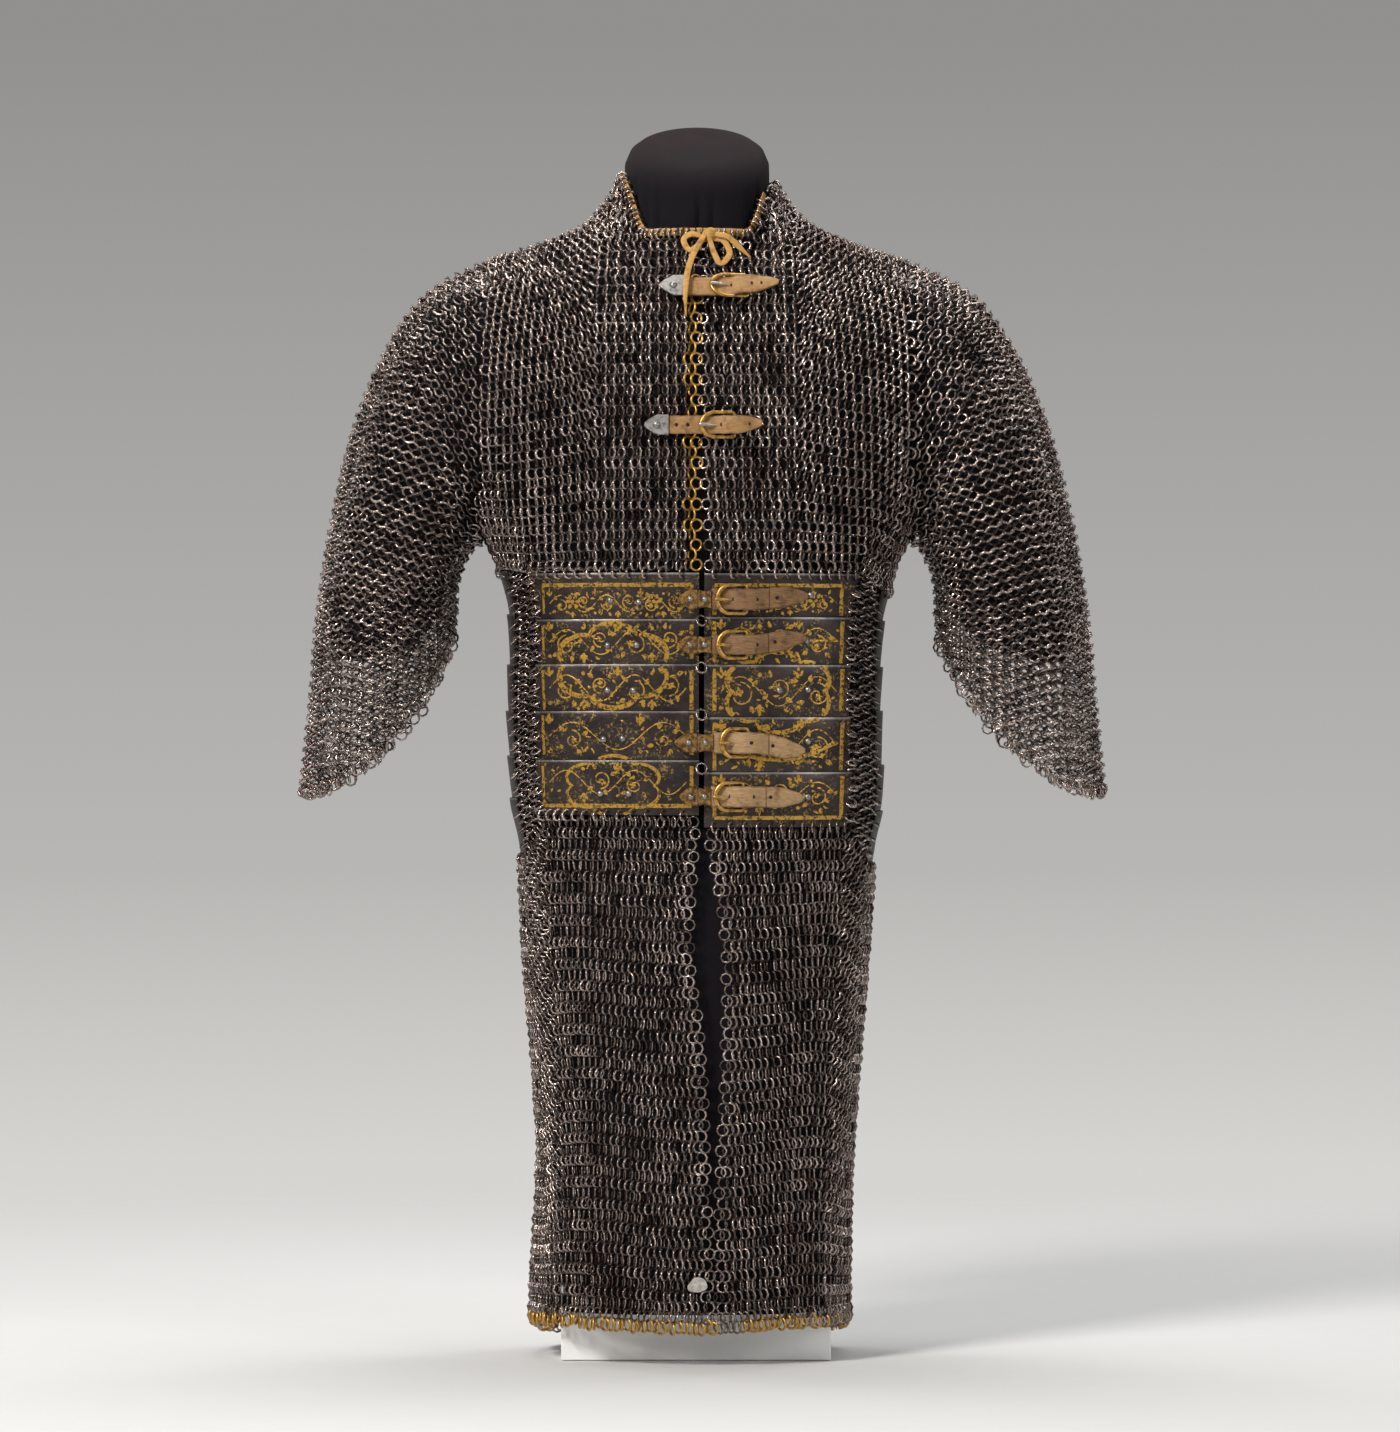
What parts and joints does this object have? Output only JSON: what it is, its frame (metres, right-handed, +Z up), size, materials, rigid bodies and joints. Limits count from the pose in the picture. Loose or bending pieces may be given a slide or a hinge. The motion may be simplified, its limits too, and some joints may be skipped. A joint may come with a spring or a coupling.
{
  "type": "mail and plate shirt on a dress form",
  "caption": "Short-sleeved shirt of mail with steel waist plates, buckled straps and a laced neck, on a limbless dress form and a white block.",
  "frame": {"origin": "middle of the bounding box at the foot of the block", "axes": "+Z up, -Y the shirt's front, +X the wearer's left"},
  "size_m": [0.615, 0.2196, 0.9395],
  "materials": {
    "mail": "dark riveted steel rings, browned with bright wear",
    "plate_front": "browned steel with worn gold ornament",
    "plate_side": "bare grey-brown steel",
    "mount_steel": "worn bright steel",
    "gilt": "worn gilding",
    "buckle_brass": "dull brass",
    "strap_leather": "worn tan leather",
    "lace_leather": "yellow-tan thong",
    "tag": "dull pale tin, uneven",
    "form_felt": "black felt",
    "plinth": "painted matt white"
  },
  "bodies": {
    "root": {"plinth_block": "plinth", "form_torso": "form_felt", "form_sleeve_pad_left": "form_felt", "form_sleeve_pad_right": "form_felt", "mail_chest_left": "mail", "mail_chest_right": "mail", "mail_back": "mail", "mail_sleeve_left": "mail", "mail_sleeve_right": "mail", "mail_flank_left": "mail", "mail_flank_right": "mail", "mail_waist_back": "mail", "mail_skirt_left": "mail", "mail_skirt_right": "mail", "mail_skirt_back": "mail", "plate_front_left_1": "plate_front", "plate_front_left_2": "plate_front", "plate_front_left_3": "plate_front", "plate_front_left_4": "plate_front", "plate_front_left_5": "plate_front", "plate_front_right_1": "plate_front", "plate_front_right_2": "plate_front", "plate_front_right_3": "plate_front", "plate_front_right_4": "plate_front", "plate_front_right_5": "plate_front", "plate_side_left_1": "plate_side", "plate_side_left_2": "plate_side", "plate_side_left_3": "plate_side", "plate_side_left_4": "plate_side", "plate_side_left_5": "plate_side", "plate_side_left_6": "plate_side", "plate_side_right_1": "plate_side", "plate_side_right_2": "plate_side", "plate_side_right_3": "plate_side", "plate_side_right_4": "plate_side", "plate_side_right_5": "plate_side", "plate_side_right_6": "plate_side", "mount_chest_upper": "mount_steel", "mount_chest_lower": "mount_steel", "mount_waist_1": "gilt", "mount_waist_2": "gilt", "mount_waist_4": "gilt", "mount_waist_5": "gilt", "strap_chest_upper": "strap_leather", "strap_chest_lower": "strap_leather", "strap_waist_1": "strap_leather", "strap_waist_2": "strap_leather", "strap_waist_4": "strap_leather", "strap_waist_5": "strap_leather", "buckle_chest_upper": "buckle_brass", "buckle_chest_lower": "buckle_brass", "buckle_waist_1": "buckle_brass", "buckle_waist_2": "buckle_brass", "buckle_waist_4": "buckle_brass", "buckle_waist_5": "buckle_brass", "neck_lace": "lace_leather", "lace_bow": "lace_leather", "hem_tag": "tag"}
  },
  "joints": []
}
